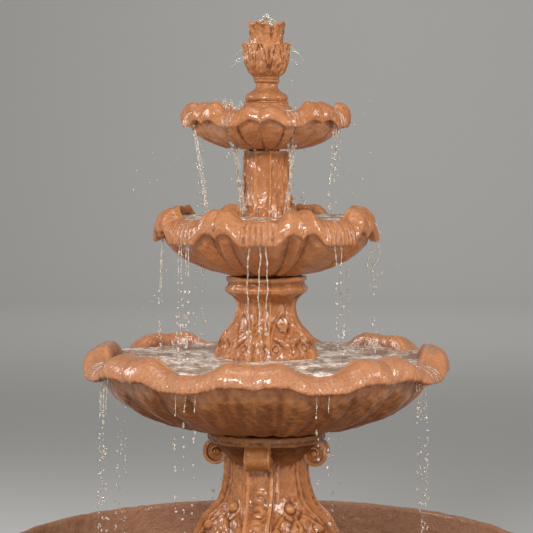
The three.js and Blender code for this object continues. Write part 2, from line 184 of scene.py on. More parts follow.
def cast_stone(name, light, dark, wet):
    """Terracotta-coloured cast stone: cloudy, pitted and shiny where wet, with painted shade in its
    crevices and on its undersides, and painted light on its proud edges and on faces that look up.
    """
    s = Shader(name)
    crevice, shade_and_stain = s.value("crevice"), s.value("shade_and_stain")
    runs = s.patches(34, 4, 0.5, 0.75, 0, 0.1 + 0.35 * wet, stretch=(1, 1, 0.25))
    pits = s.patches(260, 3, 0.30, 0.40, 1, 0)
    # Painted light: faces that look up turn paler and pinker, in patches.
    lit_tops = s.math("MULTIPLY", s.ramp(shade_and_stain, 0, -1), s.patches(20, 4, 0.3, 0.6, 0.6, 1))
    base = s.mix(s.patches(9, 5, 0.32, 0.68), (*dark, 1), (*light, 1))
    for share, colour in (
        (s.patches(55, 4, 0.35, 0.65, 0, 0.5), tint(dark, 0.85, 0.8, 0.75)),
        (runs, tint(dark, 0.62, 0.5, 0.42)),
        (s.patches(420, 2, 0.62, 0.72, 0, 0.4), tint(light, 1.35, 1.5, 1.7)),
        (s.math("MULTIPLY", pits, 0.5), tint(dark, 0.4, 0.35, 0.3)),
        # Painted shade in the hollows.
        (s.ramp(crevice, 0.05, 0.60, 0, 0.85), tint(dark, 0.34, 0.24, 0.18)),
        # Painted shade on undersides and under the lowest bowl, streaked like stain.
        (s.ramp(shade_and_stain, 0, 1), tint(dark, 0.26, 0.20, 0.10)),
        # Painted light on faces that look up.
        (lit_tops, (0.66, 0.34, 0.21, 1)),
        # Painted highlight on proud edges.
        (s.ramp(crevice, -0.15, -0.8, 0, 0.45), tint(light, 1.22, 1.32, 1.4)),
    ):
        base = s.mix(share, base, colour)
    damp = s.patches(14, 4, 0.38, 0.58, stretch=(1, 1, 0.4))
    gloss = s.ramp(damp, 0, 1, 0.05 * wet, 0.95 * wet)
    s.set(Base_Color=base, Roughness=s.ramp(damp, 0, 1, 0.68 - 0.12 * wet, 0.56 - 0.24 * wet))
    s.set(Coat_Weight=s.math("MULTIPLY", gloss, s.ramp(shade_and_stain, 0, 1, 1, 0.3)), Coat_Roughness=0.07)
    s.set(Specular_IOR_Level=0.4)
    height = s.math("ADD", s.math("MULTIPLY", s.noise(300, 3), 0.35), s.noise(75, 4))
    for scale, share in ((140, 0.8), (26, 1.6)):
        height = s.math("ADD", height, s.math("MULTIPLY", s.noise(scale, 3), share))
    s.bump(s.math("SUBTRACT", height, s.math("MULTIPLY", pits, 0.3)), 0.0034, 0.85)
    s.bump(s.noise(80, 3, stretch=(1, 1, 0.6)), 0.0017, 0.8, "Coat Normal")
    return s.material


def plastic(name, colour, roughness):
    s = Shader(name)
    lighter = (*(min(1, part * 1.35 + 0.01) for part in colour), 1)
    s.set(Base_Color=s.mix(s.patches(60, 3, 0.3, 0.7), (*colour, 1), lighter))
    s.set(Roughness=s.patches(200, 3, 0.3, 0.7, roughness - 0.06, roughness + 0.08))
    s.bump(s.noise(2600, 2), 0.0001, 0.6)
    return s.material


def metal(name, colour, roughness):
    s = Shader(name)
    film = s.patches(90, 4, 0.45, 0.75, 0, 0.6)
    s.set(Base_Color=s.mix(film, (*colour, 1), tint(colour, 0.55, 0.55, 0.55)), Metallic=1.0)
    s.set(Roughness=s.patches(140, 3, 0.3, 0.7, roughness - 0.08, roughness + 0.16))
    s.bump(s.noise(900, 2, stretch=(1, 1, 6)), 0.00008, 0.5)
    return s.material


def clear_vinyl(name):
    s = Shader(name)
    s.set(Base_Color=(0.8, 0.86, 0.84, 1), Roughness=s.patches(40, 3, 0.35, 0.7, 0.12, 0.3))
    s.set(Transmission_Weight=0.85, IOR=1.5)
    return s.material


def standing_water(name):
    """Rippled water, with froth where froth is high."""
    s = Shader(name)
    patches = s.patches(46, 5, 0.42, 0.7, roughness=0.6)
    foam = s.math("MULTIPLY", s.math("ADD", patches, 0.35), s.value("froth"))
    foam = s.ramp(foam, 0.25, 1.1)
    s.set(Base_Color=s.mix(foam, (0.66, 0.43, 0.29, 1), (0.95, 0.85, 0.75, 1)))
    s.set(Alpha=s.ramp(foam, 0, 0.8, 0.28, 0.94), Roughness=s.ramp(foam, 0, 1, 0.03, 0.35))
    s.set(IOR=1.333, Specular_IOR_Level=0.9)
    s.bump(s.noise(60, 4, 0.5), 0.003, 0.8)
    return s.material


def falling_water(name):
    """Falling water, clear with a little air in it; its warm white is partly painted highlight."""
    s = Shader(name)
    s.set(Base_Color=(1.0, 0.95, 0.86, 1), Roughness=s.patches(200, 2, 0.3, 0.7, 0.02, 0.12))
    s.set(Transmission_Weight=s.patches(90, 3, 0.35, 0.65, 0.62, 0.9), IOR=1.333)
    s.bump(s.noise(220, 2), 0.0006, 0.4)
    return s.material


FINISHES = {
    slot: make(slot, *settings)
    for slot, make, *settings in (
        ("pool_stone", cast_stone, (0.47, 0.242, 0.142), (0.39, 0.190, 0.104), 0.3),
        ("pedestal_stone", cast_stone, (0.60, 0.235, 0.074), (0.44, 0.155, 0.042), 1.0),
        ("bowl_stone", cast_stone, (0.54, 0.210, 0.074), (0.42, 0.145, 0.042), 0.9),
        ("finial_stone", cast_stone, (0.56, 0.225, 0.076), (0.42, 0.150, 0.044), 1.0),
        ("shim_plastic", plastic, (0.04, 0.04, 0.04), 0.5),
        ("stopper_rubber", plastic, (0.022, 0.022, 0.022), 0.75),
        ("tube_vinyl", clear_vinyl),
        ("nozzle_brass", metal, (0.72, 0.5, 0.2), 0.3),
        ("clamp_steel", metal, (0.62, 0.62, 0.64), 0.28),
        ("pump_plastic", plastic, (0.022, 0.025, 0.03), 0.45),
        ("rotor_plastic", plastic, (0.06, 0.18, 0.32), 0.4),
        ("shaft_ceramic", plastic, (0.83, 0.81, 0.76), 0.2),
        ("pump_foot_rubber", plastic, (0.03, 0.03, 0.03), 0.8),
    )
}
STILL_WATER = standing_water("still_water")
FALLING_WATER = falling_water("falling_water")


# ---- mesh helpers


def blend(a, b, t):
    return a + (b - a) * t


def smooth(a, b, x):
    t = np.clip((x - a) / (b - a), 0, 1)
    return t * t * (3 - 2 * t)


def between(x, a, b, c, d):
    """1 from b to c, with soft ends that reach 0 at a and d."""
    return smooth(a, b, x) * smooth(d, c, x)


def hill(away, half):
    """1 in the middle, falling off softly on both sides."""
    return np.exp(-((away / half) ** 2))


def spline_weights(controls, per_span):
    """Rows of weights that turn control points into a smooth line, without its last point."""
    rows = []
    for k in range(controls - 1):
        for t in np.arange(per_span) / per_span:
            row = np.zeros(controls)
            pulls = (
                -t + 2 * t**2 - t**3,
                2 - 5 * t**2 + 3 * t**3,
                t + 4 * t**2 - 3 * t**3,
                t**3 - t**2,
            )
            for offset, pull in zip((-1, 0, 1, 2), pulls):
                row[min(max(k + offset, 0), controls - 1)] += pull / 2
            rows.append(row)
    return np.array(rows)


def outline(stretches, per_span=6):
    """A closed line through stretches of control points, smooth within each, and the number of the
    stretch that each of its points is on. A stretch starts where the one before it ends."""
    arrays = [np.asarray(stretch, float) for stretch in stretches]
    joined = [*arrays[1:], arrays[0]]
    parts, owner = [], []
    for k, (own, following) in enumerate(zip(arrays, joined)):
        whole = np.concatenate([own, following[..., :1, :]], axis=-2)
        part = spline_weights(whole.shape[-2], per_span if own.shape[-2] > 1 else 3 * per_span) @ whole
        parts.append(part)
        owner += [k] * part.shape[-2]
    return np.concatenate(parts, axis=-2), np.array(owner)


def swept(line, azimuths):
    """Points of a [radius, height] line, one for each azimuth or one for all, swept round the axis.
    Azimuth 0 is the front, and it grows towards +X."""
    r, z = np.broadcast_to(line, (len(azimuths), *line.shape[-2:])).transpose(2, 0, 1)
    a = azimuths[:, None]
    return np.stack([r * np.sin(a), -r * np.cos(a), z], -1)


def turns(count):
    return np.arange(count) / count * TAU


def ring_distance(a, b):
    """The angle from b to a, from -pi to pi."""
    return (a - b + math.pi) % TAU - math.pi


def normals_of(grid, open_ends=False):
    """Outward normals of a grid whose columns close on themselves, and its rows too unless it has
    open ends."""
    along = np.gradient(grid, axis=0) if open_ends else np.roll(grid, -1, 0) - np.roll(grid, 1, 0)
    up = np.roll(grid, -1, 1) - np.roll(grid, 1, 1)
    normal = np.cross(along, up)
    return normal / np.maximum(np.linalg.norm(normal, axis=-1, keepdims=True), 1e-12)


def raised(grid, height, open_ends=False):
    """The grid moved outwards by height."""
    return grid + normals_of(grid, open_ends) * np.asarray(height)[..., None]


def wobble(points, wavelength, seed):
    """A smooth random height over points, mostly between -1 and 1."""
    random = np.random.default_rng(seed)
    total = 0
    for _ in range(8):
        direction = random.normal(size=3)
        direction *= TAU / (np.linalg.norm(direction) * wavelength * random.uniform(0.6, 1.5))
        total = total + np.sin(points @ direction + random.uniform(0, TAU))
    return total / 3


# The columns and rows over which a hollow is looked for, and the depth that counts as a whole one.
HOLLOW_STEPS = (2, 5)
HOLLOW_DEPTH = 0.0016


def crevices(grid):
    """How far each point lies in a hollow, up to 1, or stands proud, down to -1."""
    normal = normals_of(grid)
    hollow = 0
    for step in HOLLOW_STEPS:
        around = sum(np.roll(grid, s, axis) for s in (step, -step) for axis in (0, 1)) / 4
        hollow = hollow + np.sum((around - grid) * normal, -1) / step**0.5
    return np.clip(hollow / (len(HOLLOW_STEPS) * HOLLOW_DEPTH), -1, 1)


def grid_faces(rows, columns, open_ends=False, first=0):
    """Faces of a grid of vertices, numbered from first, with a cap on each open end."""
    index = first + np.arange(rows * columns).reshape(rows, columns)
    index = np.hstack([index, index[:, :1]])
    caps = [index[0, :-1].tolist(), index[-1, -2::-1].tolist()] if open_ends else []
    if not open_ends:
        index = np.vstack([index, index[:1]])
    corners = (index[:-1, :-1], index[1:, :-1], index[1:, 1:], index[:-1, 1:])
    return np.stack(corners, -1).reshape(-1, 4).tolist() + caps


def mesh_of(name, vertices, faces):
    mesh = bpy.data.meshes.new(name)
    mesh.from_pydata(np.asarray(vertices).reshape(-1, 3).tolist(), [], faces)
    return mesh


def piece(name, grids, open_ends, material, sharp, values=()):
    """A new object of the fountain from grids, the numbers of which are in open_ends if they have
    them. values are named numbers, one for each vertex."""
    faces, count = [], 0
    for k, grid in enumerate(grids):
        faces += grid_faces(*grid.shape[:2], k in open_ends, count)
        count += grid.shape[0] * grid.shape[1]
    mesh = mesh_of(name, np.concatenate([grid.reshape(-1, 3) for grid in grids]), faces)
    for key, value in dict(values).items():
        attribute = mesh.attributes.new(key, "FLOAT", "POINT")
        attribute.data.foreach_set("value", np.asarray(value, np.float32).ravel())
    mesh.shade_smooth()
    mesh.set_sharp_from_angle(angle=math.radians(sharp))
    mesh.materials.append(material)
    made = placed(name, mesh)
    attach(made, BODY)
    return made


def shade_and_stains(grid, open_ends, shade_and_stain, top_light):
    """Painted shade on faces that look down, streaked like stain, up to the first amount, and painted
    light on faces that look up, down to minus the second.
    """
    around = grid[..., :2] / np.maximum(np.linalg.norm(grid[..., :2], axis=-1, keepdims=True), 1e-6)
    streaks = wobble(np.concatenate([around, grid[..., 2:] * 0.8], -1), 0.09, 31)
    under = smooth(0.10, -0.55, normals_of(grid, open_ends)[..., 2])
    return shade_and_stain * np.clip(under * (0.85 + 0.22 * streaks), 0, 1) - top_light * (1 - under)


# Height, wavelength and seed of each wobble that roughens the stone.
STONE_ROUGHNESS = ((0.0009, 0.08, 1), (0.0006, 0.026, 2), (0.00028, 0.010, 3))


def stone_piece(
    name, grids, slot, node=None, open_ends=(), shade_and_stain=0.3, top_light=0.0, shade=None, hollow_shading=1.0
):
    """A stone piece from one or more closed grids, roughened as cast stone is. open_ends are the
    numbers of the grids that have them, shade is a painted shade that depends on the height, and the
    last argument is how strongly painted shade shows in its hollows and painted highlight on its
    proud edges. The two amounts before shade set painted shade on undersides and painted light above."""
    roughened, hollows, shade_and_stained = [], [], []
    for k, grid in enumerate(grids):
        rough = sum(size * wobble(grid, wave, seed) for size, wave, seed in STONE_ROUGHNESS)
        grid = raised(grid, rough, k in open_ends)
        grid[..., 2] = grid[..., 2].clip(0)
        # Painted shade on undersides, streaked like stain, and painted light on faces that look up.
        shade_and_dirt = shade_and_stains(grid, k in open_ends, shade_and_stain, top_light)
        shade_and_stained.append((np.maximum(shade_and_dirt, shade(grid[..., 2])) if shade else shade_and_dirt).ravel())
        roughened.append(grid)
        hollows.append(hollow_shading * crevices(grid).ravel())
    values = {"crevice": np.concatenate(hollows), "shade_and_stain": np.concatenate(shade_and_stained)}
    made = piece(name, roughened, open_ends, FINISHES[slot], 50, values)
    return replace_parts(made, node) if node else made


def carve(obj, cutter):
    """Cuts the shape of cutter out of obj and removes cutter."""
    modifier = obj.modifiers.new("carve", "BOOLEAN")
    modifier.operation = "DIFFERENCE"
    modifier.solver = "MANIFOLD"
    modifier.object = cutter
    bpy.context.view_layer.update()
    carved = bpy.data.meshes.new_from_object(obj.evaluated_get(bpy.context.evaluated_depsgraph_get()))
    obj.modifiers.clear()
    obj.data = carved
    bpy.data.objects.remove(cutter)


def solid_of(name, rings):
    """A plain closed solid through rings of points, for carving with. The rings go round the way
    that grid_faces wants for faces that look outwards."""
    grid = np.array(rings, float)
    return placed(name, mesh_of(name, grid, grid_faces(*grid.shape[:2], open_ends=True)))


# ---- bowls

# The rim of a bowl has eight raised double scallops with a cleft down the middle of each, and
# between them eight spills. Angles round a scallop are in degrees: 0 at its cleft, 22.5 at the
# middle of a spill. hump and fall: where the rim is highest, and where its fall to the spill ends.
# drop: from the crest to the spill's crest. face: height of the rolled lip on the humps. spill_face:
# the same at the spills. cleft: how much of the rise the cleft takes back, on the crest and on the
# lip's edge. grooves: between the lobes underneath, groove: their depth. ribs: pitch and height.
BOWLS = {
    "bottom_bowl": dict(
        hump=7.6, fall=18.5, drop=0.033, face=0.058, spill_face=0.043, roll=0.076, cleft=(0.17, 0.40),
        notch=0.002, seat_radius=0.120, belly=1.85, floor=0.067, turn=0.0, ribs=(1.6, 0.0007, 6),
        grooves=(-22.5, -9.2, 9.2), groove=0.0055, lobe=2.0, water=0.003, hub=0.048, sag=0.004,
    ),
    "middle_bowl": dict(
        hump=5.4, fall=14.0, drop=0.026, face=0.058, spill_face=0.062, roll=0.058, cleft=(0.13, 0.46),
        notch=0.002, seat_radius=0.084, belly=1.62, floor=0.034, turn=22.5, ribs=(2.8, 0.0015, 12),
        grooves=(-5.6, 5.6), groove=0.0075, lobe=3.0, water=0.002, hub=0.036, sag=0.0,
    ),
    "top_bowl": dict(
        hump=7.2, fall=17.7, drop=0.023, face=0.045, spill_face=0.040, roll=0.046, cleft=(0.24, 0.60),
        notch=0.002, seat_radius=0.062, belly=1.95, floor=0.0235, turn=0.0, ribs=(3.0, 0.0014, 16.5),
        grooves=(-18.0, 0.0, 18.0), groove=0.0078, lobe=2.6, water=0.001, hub=0.027, sag=0.014,
    ),
}
BOWL_COLUMNS = 960
BOWL_HOLE = 0.022
HUB_DROP = 0.014
# The share of a bowl's reach at which its shell ends and the rolled lip begins.
SHELL_END = 0.905


def rim_rise(u, bowl, cleft):
    """0 at a spill and 1 on a hump, and less than 1 in the cleft between two humps."""
    hump = bowl["hump"]
    arc = (1 - ((hump - u).clip(0) / hump) ** 2) ** 0.75
    return (1 - smooth(hump, bowl["fall"], u)) * (1 - cleft * (1 - arc)), arc


def lobes(w, grooves, power):
    """1 along the back of each lobe and 0 in the grooves between them."""
    edges = np.array([*grooves, grooves[0] + 45])
    w = (w - edges[0]) % 45 + edges[0]
    k = np.clip(np.searchsorted(edges, w, side="right") - 1, 0, len(grooves) - 1)
    share = (w - edges[k]) / (edges[k + 1] - edges[k])
    return 1 - abs(2 * share - 1) ** power


class Rim:
    """The heights of a bowl's rim round its azimuths, and other measures that depend on them."""

    def __init__(self, node, azimuths):
        bowl = BOWLS[node]
        self.bowl = bowl
        self.reach, self.crest = reach_of(node), top_of(node)
        self.seat = bottom_of(node) + HUB_DROP
        self.floor = self.seat + bowl["floor"]
        self.spill = self.crest - bowl["drop"]
        self.w = (np.degrees(azimuths) - bowl["turn"] + 22.5) % 45 - 22.5
        self.u = abs(self.w)
        rise, arc = rim_rise(self.u, bowl, bowl["cleft"][0])
        edge_rise, _ = rim_rise(self.u, bowl, bowl["cleft"][1])
        self.rise = rise
        front = np.cos(np.clip(ring_distance(azimuths, 0) / math.radians(17), -1, 1) * math.pi / 2)
        self.top = self.spill + bowl["drop"] * rise - bowl["sag"] * front * rise
        low = self.spill - bowl["spill_face"]
        self.edge = low + (self.crest - bowl["face"] - low) * edge_rise
        self.cleft = bowl["notch"] * (1 - arc)
        self.level = self.spill + bowl["water"]


def bowl_grid(node):
    azimuths = turns(BOWL_COLUMNS)
    rim = Rim(node, azimuths)
    bowl, reach = rim.bowl, rim.reach
    one = np.ones_like(azimuths)

    share = np.append(np.linspace(0, 0.9, 13), [0.96, 1.0])
    rise = 1 - (1 - share ** bowl["belly"]) ** (1 / bowl["belly"])
    shell_r = blend(bowl["seat_radius"], reach * SHELL_END, share)
    shell_z = rim.seat + (rim.edge[:, None] + 0.011 - rim.seat) * rise
    slope = np.gradient(rise) / np.gradient(share) * (rim.edge.mean() - rim.seat) / (reach * 0.915)
    lean = 1 / np.hypot(1, slope)
    hollow = bowl["groove"] * (1 - lobes(rim.w, bowl["grooves"], bowl["lobe"]))
    cut = hollow[:, None] * smooth(-0.04, 0.16, share)
    shell = np.stack([shell_r - cut * slope * lean, shell_z + cut * lean], -1)

    roll, height = bowl["roll"], (rim.top - rim.edge)[:, None]
    across = np.array([-0.38, -0.20, -0.07, 0.0, -0.01, -0.09, -0.24, -0.45, -0.68, -0.92])
    up = np.array([0.08, 0.0, -0.01, 0.10, 0.32, 0.57, 0.79, 0.94, 1.0, 0.93])
    pull = np.array([0.2, 0.8, 1, 1, 1, 1, 0.9, 0.6, 0.3, 0])
    ribs_pitch, ribs_height, ribs_from = bowl["ribs"]
    on_spill = smooth(ribs_from, ribs_from + 3, rim.u)
    ribs = ribs_height * on_spill * np.cos(TAU * (22.5 - rim.u) / ribs_pitch)
    lip_r = reach + across * roll - (rim.cleft - ribs + ribs_height)[:, None] * pull
    lip_z = rim.edge[:, None] + up * height
    lip = np.stack([lip_r, lip_z], -1)
    start = np.stack([one * reach * SHELL_END + 0.003, rim.edge + 0.010], -1)[:, None]

    fade = np.array([0.55, 0.2, 0.0])
    into = np.array([0.80, 0.62, 0.42])
    depth = np.array([0.58, 0.2, 0.02])
    inside_z = rim.floor + (rim.spill - rim.floor) * depth + bowl["drop"] * rim.rise[:, None] * fade
    inside = np.stack([reach * into + 0 * inside_z, inside_z], -1)

    def point(r, z):
        return np.stack([one * r, one * z], -1)[:, None]

    line, owner = outline(
        [
            point(BOWL_HOLE, rim.seat - HUB_DROP),
            point(bowl["hub"], rim.seat - HUB_DROP),
            point(bowl["hub"], rim.seat),
            shell,
            np.concatenate([start, lip, inside, point(reach * 0.25, rim.floor)], 1),
            point(BOWL_HOLE, rim.floor),
        ]
    )
    return swept(line, azimuths), owner


# ---- pedestals


def even(line, spacing):
    """The line's points again, spaced evenly along it."""
    gaps = np.linalg.norm(np.diff(line, axis=0), axis=1)
    along = np.append(0, np.cumsum(gaps))
    marks = np.linspace(0, along[-1], int(along[-1] / spacing) + 1)
    return np.stack([np.interp(marks, along, line[:, k]) for k in (0, 1)], -1), marks


def smooth_line(stretches, spacing):
    """An open line through stretches of [radius, height] points, with a corner between stretches."""
    parts = []
    for k, stretch in enumerate(stretches):
        own = np.array(stretch, float)
        if k + 1 < len(stretches):
            own = np.vstack([own, stretches[k + 1][0]])
        parts.append(spline_weights(len(own), 16) @ own)
    parts.append(np.array(stretches[-1][-1:], float))
    return even(np.vstack(parts), spacing)


FRONT, SIDE, FACE, NEXT_SIDE = range(4)
PEDESTAL_TURN = math.radians(-5)
CONSOLE_TURNS = [PEDESTAL_TURN + k * math.pi / 2 for k in range(4)]


def at_console(turn, across, outward, up):
    """Points given by their places across, out from and up a console that looks in azimuth turn."""
    x = across * math.cos(turn) + outward * math.sin(turn)
    y = across * math.sin(turn) - outward * math.cos(turn)
    return np.stack(np.broadcast_arrays(x, y, up), -1)


def pedestal_grid(stretches, half, inset, bow, hollow, relief, spacing=0.003):
    """A pedestal that is square in plan with its corners cut off. A console, half wide each way from
    its middle, stands inset proud of the body at the front, the back and each side. bow swells the
    diagonal faces. hollow is the [radius, height] line of the space inside, going down. relief gives
    the height of the carving. All but hollow may depend on the height."""
    line, along = smooth_line(stretches, spacing)
    spans = (
        (FRONT, np.linspace(-1, 1, 25)),
        (SIDE, np.linspace(0, 1, 7)[1:-1]),
        (FACE, np.linspace(-1, 1, 65)),
        (NEXT_SIDE, np.linspace(1, 0, 7)[1:-1]),
    )
    part = np.concatenate([np.full(len(values), kind) for kind, values in spans])[:, None]
    t = np.concatenate([values for _, values in spans])[:, None]
    r, z = line[:, 0][None], line[:, 1][None]
    full = 0 * r + 0 * t
    h, proud, swell = half(z), inset(z), bow(z)
    body = r - proud
    out_share = (t + 1) / 2
    bulge = swell * (1 - t**2) / math.sqrt(2)
    kinds = [part == FRONT, part == SIDE, part == FACE]
    x = np.select(kinds, [t * h, h + full, blend(h, body, out_share) + bulge], r - t * proud)
    y = np.select(kinds, [r + full, r - t * proud, blend(body, h, out_share) + bulge], h + full)
    width = np.where(part == FACE, (body - h) / math.sqrt(2), h) + 0 * t
    height = relief(part + 0 * r, t * width, along[None] + full, z + full, width)
    outside = np.concatenate([at_console(turn, x, y, z) for turn in CONSOLE_TURNS])
    top, foot = outside[:, -1:], outside[:, :1]
    inner = swept(np.array(hollow), np.arctan2(top[:, 0, 0], -top[:, 0, 1]))
    shares = (0.1, 0.5, 0.9)
    over = [blend(top, inner[:, :1], share) for share in shares]
    under = [blend(inner[:, -1:], foot, share) for share in shares]
    grid = np.concatenate([outside, *over, inner, *under], 1)
    carving = np.zeros(grid.shape[:2])
    carving[:, : outside.shape[1]] = np.concatenate([height] * 4)
    return raised(grid, carving)


def boss(x, s, across, along, radius, height):
    """A round knob with a shallow ditch about it."""
    away = np.hypot(x - across, s - along) / radius
    return height * np.sqrt((1 - away**2).clip(0)) - 0.18 * height * hill(away - 1.2, 0.16)


def ring_bead(x, s, across, along, radius, height):
    return height * hill(np.hypot(x - across, s - along) - radius, 0.0026)


def ringed_boss(x, s, across, along, radius, height, ring_radius, ring_height):
    ring = ring_bead(x, s, across, along, ring_radius, ring_height)
    return boss(x, s, across, along, radius, height) + ring


def leaf(x, s, base, tip, half, height, ribs):
    """A leaf that rises from base to tip, with lobed edges, a sunk midrib and slanting veins."""
    share = ((s - base) / (tip - base)).clip(0, 1)
    edge = half * (1 - share**2.2) ** 0.6 * (0.86 + 0.14 * abs(np.sin(share * 5 * math.pi))) + 1e-6
    body = (1 - (abs(x) / edge).clip(0, 1) ** 3.5) * ((s > base - 0.004) & (s < tip))
    veins = 0.16 * np.cos(TAU * (s - 0.85 * abs(x)) / ribs)
    return height * body * (0.8 + veins - 0.45 * hill(x, 0.0028) + 0.25 * share)


def slot_dip(x, s, across, along, lean, long, wide, depth):
    """A drop-shaped hollow whose long axis leans away from upright by an angle."""
    du, dv = x - across, s - along
    u = du * math.cos(lean) - dv * math.sin(lean)
    v = du * math.sin(lean) + dv * math.cos(lean)
    return -depth * hill(u, wide) * hill(v, long)


def lower_relief(part, x, s, z, width):
    """Bars up the consoles. On the faces between them a sunk panel with a band along its edges, a
    large leaf with a knob over it, and a smaller leaf, a knob and a stem on each side."""
    front = 0.0036 * smooth(0.0245, 0.0262, abs(x)) * smooth(0.655, 0.640, z)
    for level in np.arange(0.290, 0.52, 0.0200):
        bar = np.exp(-((abs(x) / 0.0110) ** 4 + (abs(s - level) / 0.0070) ** 4))
        front += 0.0036 * bar * smooth(0.635, 0.615, z)
    face = -0.005 * smooth(width - 0.006, width - 0.010, abs(x)) * between(z, 0.30, 0.33, 0.645, 0.665)
    face += 0.0034 * hill(abs(x) - width * 0.60, 0.0046) * between(z, 0.545, 0.575, 0.64, 0.66)
    face += leaf(x, s, 0.085, 0.425, 0.062, 0.011, 0.030)
    face += ringed_boss(x, s, 0, 0.462, 0.0165, 0.011, 0.0205, 0.0024)
    for side in (-1, 1):
        face += ringed_boss(x, s, side * (width - 0.021), 0.392, 0.0150, 0.010, 0.0188, 0.0030)
        stem = side * x - 0.88 * (0.468 - s) - 0.010 * np.sin((s - 0.34) / 0.13 * math.pi)
        face += 0.0048 * hill(stem, 0.0052) * between(s, 0.335, 0.36, 0.44, 0.458)
        face += slot_dip(x, s, side * 0.022, 0.436, side * 0.7, 0.016, 0.0045, 0.006)
        face += leaf(x - side * (width - 0.030), s, 0.150, 0.345, 0.026, 0.007, 0.020)
    face += 0.003 * np.cos(TAU * x / 0.034) * smooth(0.10, 0.07, s)
    return np.select([part == FRONT, part == FACE], [front, face], 0 * x)


lower_top, lower_foot = top_of("lower_pedestal"), bottom_of("lower_pedestal")
lower_grid = pedestal_grid(
    [
        [[0.238, lower_foot], [0.2375, 0.18], [0.236, 0.244]],
        [[0.228, 0.252], [0.213, 0.272], [0.204, 0.300], [0.2085, 0.335], [0.2085, 0.362],
         [0.2005, 0.42], [0.1855, 0.459], [0.162, 0.503], [0.1385, 0.527], [0.1215, 0.552],
         [0.1095, 0.595], [0.1045, 0.634], [0.110, 0.664], [0.129, 0.693], [0.142, 0.704]],
        [[0.149, 0.7055], [0.151, 0.710]],
        [[0.151, 0.7245], [0.148, lower_top]],
    ],
    half=lambda z: 0.032 + 0 * z,
    inset=lambda z: 0.001 + 0.013 * between(z, 0.26, 0.36, 0.655, 0.690),
    bow=lambda z: 0.004 + 0.024 * smooth(0.640, 0.700, z) + 0.012 * smooth(0.50, 0.36, z),
    hollow=[[0.055, lower_top], [0.055, 0.43], [0.13, 0.31], [0.13, lower_foot]],
    relief=lower_relief,
)


def middle_relief(part, x, s, z, width):
    """Leaves and a ring up the consoles. On the faces a leaf with a rounded shield over it, and
    hollows, a stem and a knob on each side. A fillet runs round the foot."""
    neck = smooth(1.085, 1.06, z)
    ribs = np.cos(TAU * s / 0.013) * smooth(0.078, 0.062, s)
    front = 0.0026 * smooth(0.0185, 0.0205, abs(x)) * neck
    front += 0.0011 * ribs * smooth(0.021, 0.018, abs(x))
    front += ringed_boss(x, s, 0, 0.219, 0.0075, 0.0028, 0.0120, 0.0022)
    front += leaf(x, s, 0.085, 0.200, 0.0165, 0.0036, 0.013)
    front += leaf(x, s, 0.240, 0.300, 0.012, 0.0026, 0.012)
    face = leaf(x, s, 0.014, 0.192, 0.040, 0.0045, 0.021)
    face += 0.0055 * np.exp(-(((x / 0.0095) ** 2 + ((s - 0.262) / 0.0165) ** 2) ** 2))
    face += 0.0022 * np.cos(TAU * x / 0.0155 + 0.7) * smooth(0.135, 0.118, s)
    for side in (-1, 1):
        face += slot_dip(x, s, side * 0.015, 0.214, side * 0.55, 0.018, 0.0048, 0.0085)
        face += slot_dip(x, s, side * 0.031, 0.168, side * 0.95, 0.015, 0.0042, 0.0065)
        stem = side * x - 0.60 * (0.262 - s) - 0.006 * np.sin((s - 0.15) / 0.11 * math.pi)
        face += 0.0042 * hill(stem, 0.0042) * between(s, 0.140, 0.155, 0.250, 0.262)
        face += ringed_boss(x, s, side * (width - 0.017), 0.152, 0.0085, 0.0045, 0.0128, 0.0026)
    sides = 0.0035 * hill(s - 0.128, 0.014) - 0.0030 * hill(s - 0.158, 0.010)
    return np.select([part == FRONT, part == FACE], [front + sides, face * neck + sides], sides)


middle_top, middle_foot = top_of("middle_pedestal"), bottom_of("middle_pedestal")
middle_grid = pedestal_grid(
    [
        [[0.1365, middle_foot], [0.1365, 0.83], [0.1345, 0.862], [0.1305, 0.895], [0.1275, 0.926],
         [0.1245, 0.948], [0.1190, 0.968], [0.1060, 0.988], [0.0905, 1.004], [0.0785, 1.024],
         [0.0725, 1.046], [0.0745, 1.066], [0.087, 1.0815], [0.102, 1.0925]],
        [[0.1035, 1.0975], [0.105, 1.1015], [0.102, 1.107], [0.0975, 1.112], [0.096, 1.117],
         [0.099, 1.1215]],
        [[0.101, 1.122], [0.1012, 1.130]],
        [[0.0995, middle_top], [0.0990, middle_top]],
    ],
    half=lambda z: 0.028 - 0.005 * smooth(0.96, 1.0, z) + 0.005 * smooth(1.07, 1.095, z),
    inset=lambda z: 0.001 + 0.006 * between(z, 0.84, 0.90, 1.06, 1.088),
    bow=lambda z: 0.003 + 0.007 * smooth(0.98, 0.92, z) + 0.006 * smooth(1.06, 1.095, z),
    hollow=[[0.04, middle_top], [0.04, 1.0], [0.06, 0.9], [0.06, middle_foot]],
    relief=middle_relief,
    spacing=0.0022,
)


def top_relief(part, x, s, z, width):
    """A leaf and a ring up the consoles. On the faces a leaf between two knobs, and a raised line
    round a tall arched panel over them."""
    front = 0.0026 * smooth(0.0150, 0.0168, abs(x))
    front += leaf(x, s, 0.020, 0.110, 0.012, 0.0042, 0.012)
    front += ringed_boss(x, s, 0, 0.128, 0.0035, 0.002, 0.0075, 0.0026)
    face = leaf(x, s, 0.008, 0.150, 0.032, 0.0042, 0.015)
    arch = width * 0.45 * (1 - ((s - 0.17) / 0.10).clip(0, 1) ** 2.5) ** 0.5
    face += 0.0032 * hill(abs(x) - arch, 0.0022) * between(s, 0.165, 0.175, 0.268, 0.272)
    for side in (-1, 1):
        face += boss(x, s, side * (width - 0.011), 0.100, 0.0085, 0.0055)
    return np.select([part == FRONT, part == FACE], [front, face], 0 * x)


